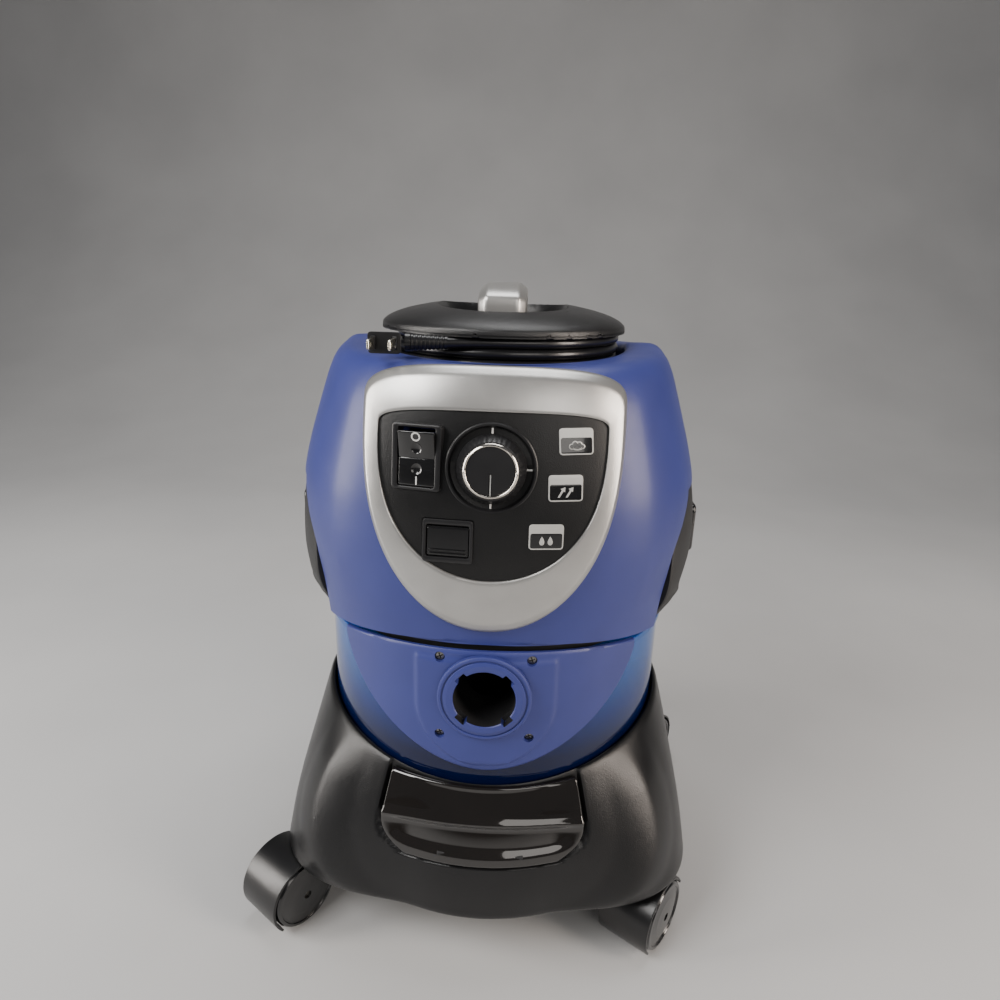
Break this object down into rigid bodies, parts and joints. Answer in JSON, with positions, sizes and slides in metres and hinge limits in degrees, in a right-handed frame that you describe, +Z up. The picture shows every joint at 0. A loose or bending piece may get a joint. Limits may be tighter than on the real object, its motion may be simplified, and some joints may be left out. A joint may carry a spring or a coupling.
{
  "type": "canister vacuum cleaner",
  "caption": "Upright water-filtration canister vacuum: lift-off motor head with wrapped mains cord on a clear tank, carried by a black dolly on twin-wheel castors.",
  "frame": {"origin": "on the floor, under the centre of the bounding box of everything but the cord, its gland and the plug", "axes": "-Y is the front with the control panel and the hose inlet, +X is to the right of someone facing the panel, +Z is up"},
  "size_m": [0.3646, 0.31, 0.473],
  "materials": {
    "dolly_plastic": "fine textured black, satin",
    "pedal_gloss": "smoked black, high gloss",
    "steel": "zinc plated",
    "tank_clear": "transparent blue, high gloss",
    "housing_blue": "satin blue",
    "seal_rubber": "matt black",
    "dark_plastic": "matt black",
    "silver_trim": "satin silver paint",
    "panel_black": "fine textured black",
    "panel_gloss": "smooth black",
    "label_silver": "silver print on black",
    "motor_metal": "pressed",
    "motor_winding": "enamelled winding on a laminated core",
    "filter_paper": "pleated paper",
    "cap_plastic": "fine grained satin",
    "cord_rubber": "semi gloss black",
    "bright_ring": "bright plated",
    "latch_plastic": "matt black",
    "castor_plastic": "smooth satin black",
    "wheel_plastic": "glossy black",
    "plug_brass": "nickel plated"
  },
  "bodies": {
    "dolly": {"dolly_body": "dolly_plastic", "dolly_base_plate": "dolly_plastic", "dolly_screws": "steel", "pedal_pin": "steel", "pedal_spring": "steel"},
    "pedal": {"release_pedal": "pedal_gloss"},
    "front_left_castor": {"front_left_castor_hood": "castor_plastic", "front_left_castor_stem": "steel"},
    "front_left_wheels": {"front_left_castor_axle": "steel", "front_left_castor_wheels": "wheel_plastic"},
    "front_right_castor": {"front_right_castor_hood": "castor_plastic", "front_right_castor_stem": "steel"},
    "front_right_wheels": {"front_right_castor_axle": "steel", "front_right_castor_wheels": "wheel_plastic"},
    "rear_left_castor": {"rear_left_castor_hood": "castor_plastic", "rear_left_castor_stem": "steel"},
    "rear_left_wheels": {"rear_left_castor_axle": "steel", "rear_left_castor_wheels": "wheel_plastic"},
    "rear_right_castor": {"rear_right_castor_hood": "castor_plastic", "rear_right_castor_stem": "steel"},
    "rear_right_wheels": {"rear_right_castor_axle": "steel", "rear_right_castor_wheels": "wheel_plastic"},
    "tank": {"water_tank": "tank_clear", "tank_apron": "housing_blue", "inlet_collar": "housing_blue", "inlet_gasket": "seal_rubber", "inlet_screws": "steel", "inlet_tube": "dark_plastic", "tank_seal": "seal_rubber"},
    "head": {"head_shell": "housing_blue", "motor_plate": "dark_plastic", "panel_frame": "silver_trim", "control_panel": "panel_black", "socket_housing": "dark_plastic", "mode_labels": "label_silver", "motor_housing": "motor_metal", "motor_core": "motor_winding", "motor_bearings": "steel", "hepa_filter": "filter_paper", "filter_cover": "dark_plastic", "cord_post": "dark_plastic", "cap_dome": "cap_plastic", "carry_handle": "silver_trim", "cord_gland": "cord_rubber", "cord_coil": "cord_rubber", "cord_tail": "cord_rubber", "plug_body": "cord_rubber", "plug_blades": "plug_brass", "latch_pins": "steel"},
    "rocker": {"rocker_key": "panel_gloss"},
    "dial": {"mode_dial": "panel_gloss", "dial_ring": "bright_ring"},
    "flap": {"socket_flap": "panel_gloss"},
    "rotor": {"motor_shaft": "steel", "fan_impeller": "motor_metal", "separator": "dark_plastic"},
    "left_latch": {"left_latch": "latch_plastic"},
    "left_button": {"left_latch_button": "panel_gloss"},
    "right_latch": {"right_latch": "latch_plastic"},
    "right_button": {"right_latch_button": "panel_gloss"}
  },
  "joints": [
    {"name": "pedal_press", "type": "hinge", "parent": "dolly", "child": "pedal", "pos_m": [0, -0.128, 0.071], "axis": [1, 0, 0], "range_deg": [0, 4], "stiffness_Nm_per_rad": 2, "springref_deg": -4.01},
    {"name": "front_left_swivel", "type": "hinge", "parent": "dolly", "child": "front_left_castor", "pos_m": [-0.135, -0.083, 0.06], "axis": [0, 0, 1], "continuous": true},
    {"name": "front_left_roll", "type": "hinge", "parent": "front_left_castor", "child": "front_left_wheels", "pos_m": [-0.14911, -0.10242, 0.026], "axis": [-0.809, 0.5878, 0], "continuous": true},
    {"name": "front_right_swivel", "type": "hinge", "parent": "dolly", "child": "front_right_castor", "pos_m": [0.135, -0.083, 0.06], "axis": [0, 0, 1], "continuous": true},
    {"name": "front_right_roll", "type": "hinge", "parent": "front_right_castor", "child": "front_right_wheels", "pos_m": [0.12089, -0.10242, 0.026], "axis": [-0.809, 0.5878, 0], "continuous": true},
    {"name": "rear_left_swivel", "type": "hinge", "parent": "dolly", "child": "rear_left_castor", "pos_m": [-0.135, 0.083, 0.06], "axis": [0, 0, 1], "continuous": true},
    {"name": "rear_left_roll", "type": "hinge", "parent": "rear_left_castor", "child": "rear_left_wheels", "pos_m": [-0.12089, 0.10242, 0.026], "axis": [0.809, -0.5878, 0], "continuous": true},
    {"name": "rear_right_swivel", "type": "hinge", "parent": "dolly", "child": "rear_right_castor", "pos_m": [0.135, 0.083, 0.06], "axis": [0, 0, 1], "continuous": true},
    {"name": "rear_right_roll", "type": "hinge", "parent": "rear_right_castor", "child": "rear_right_wheels", "pos_m": [0.14911, 0.10242, 0.026], "axis": [0.809, -0.5878, 0], "continuous": true},
    {"name": "tank_lift", "type": "slide", "parent": "dolly", "child": "tank", "axis": [0, 0, 1], "range_m": [0, 0.12]},
    {"name": "head_lift", "type": "slide", "parent": "tank", "child": "head", "axis": [0, 0, 1], "range_m": [0, 0.1]},
    {"name": "rocker_tilt", "type": "hinge", "parent": "head", "child": "rocker", "pos_m": [-0.0425, -0.12688, 0.3755], "axis": [-0.9807, 0.1957, 0], "range_deg": [0, 12]},
    {"name": "dial_turn", "type": "hinge", "parent": "head", "child": "dial", "pos_m": [0.0005, -0.13047, 0.371], "axis": [0.0005, -0.9945, 0.1045], "range_deg": [0, 180]},
    {"name": "flap_open", "type": "hinge", "parent": "head", "child": "flap", "pos_m": [-0.02398, -0.13378, 0.33502], "axis": [-0.9969, 0.0786, 0], "range_deg": [0, 95], "stiffness_Nm_per_rad": 0.003, "springref_deg": -28.65},
    {"name": "rotor_spin", "type": "hinge", "parent": "head", "child": "rotor", "pos_m": [0, 0, 0.3], "axis": [0, 0, 1], "continuous": true},
    {"name": "left_latch_swing", "type": "hinge", "parent": "head", "child": "left_latch", "pos_m": [-0.1416, 0, 0.3365], "axis": [0, 1, 0], "range_deg": [0, 35]},
    {"name": "left_button_press", "type": "slide", "parent": "left_latch", "child": "left_button", "axis": [1, 0, 0], "range_m": [0, 0.0025], "stiffness_N_per_m": 800, "springref_m": -0.002},
    {"name": "right_latch_swing", "type": "hinge", "parent": "head", "child": "right_latch", "pos_m": [0.1416, 0, 0.3365], "axis": [0, -1, 0], "range_deg": [0, 35]},
    {"name": "right_button_press", "type": "slide", "parent": "right_latch", "child": "right_button", "axis": [-1, 0, 0], "range_m": [0, 0.0025], "stiffness_N_per_m": 800, "springref_m": -0.002}
  ]
}
